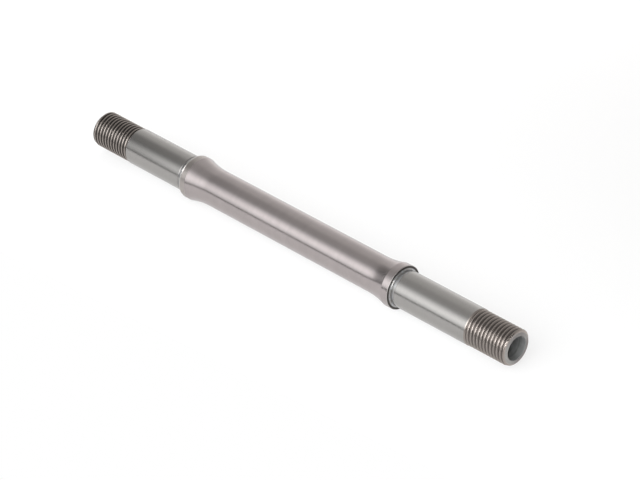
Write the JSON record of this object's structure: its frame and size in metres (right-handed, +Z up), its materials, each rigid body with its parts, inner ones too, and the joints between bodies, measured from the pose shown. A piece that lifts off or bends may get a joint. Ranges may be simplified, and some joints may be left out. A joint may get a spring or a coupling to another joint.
{
  "type": "bicycle rear hub axle",
  "caption": "Hollow turned rear hub axle for a bicycle, with a waisted barrel between two collars, ground bearing seats and threaded ends for locknuts.",
  "frame": {"origin": "middle of the axle's length, on its centre line", "axes": "+X along the axle towards its long end, +Z up with the axle level, as it is held in a wheel"},
  "size_m": [0.147, 0.0118, 0.0118],
  "materials": {
    "axle": "satin hard anodised barrel, ground seats, dark threads"
  },
  "bodies": {
    "root": {"axle": "axle"}
  },
  "joints": []
}
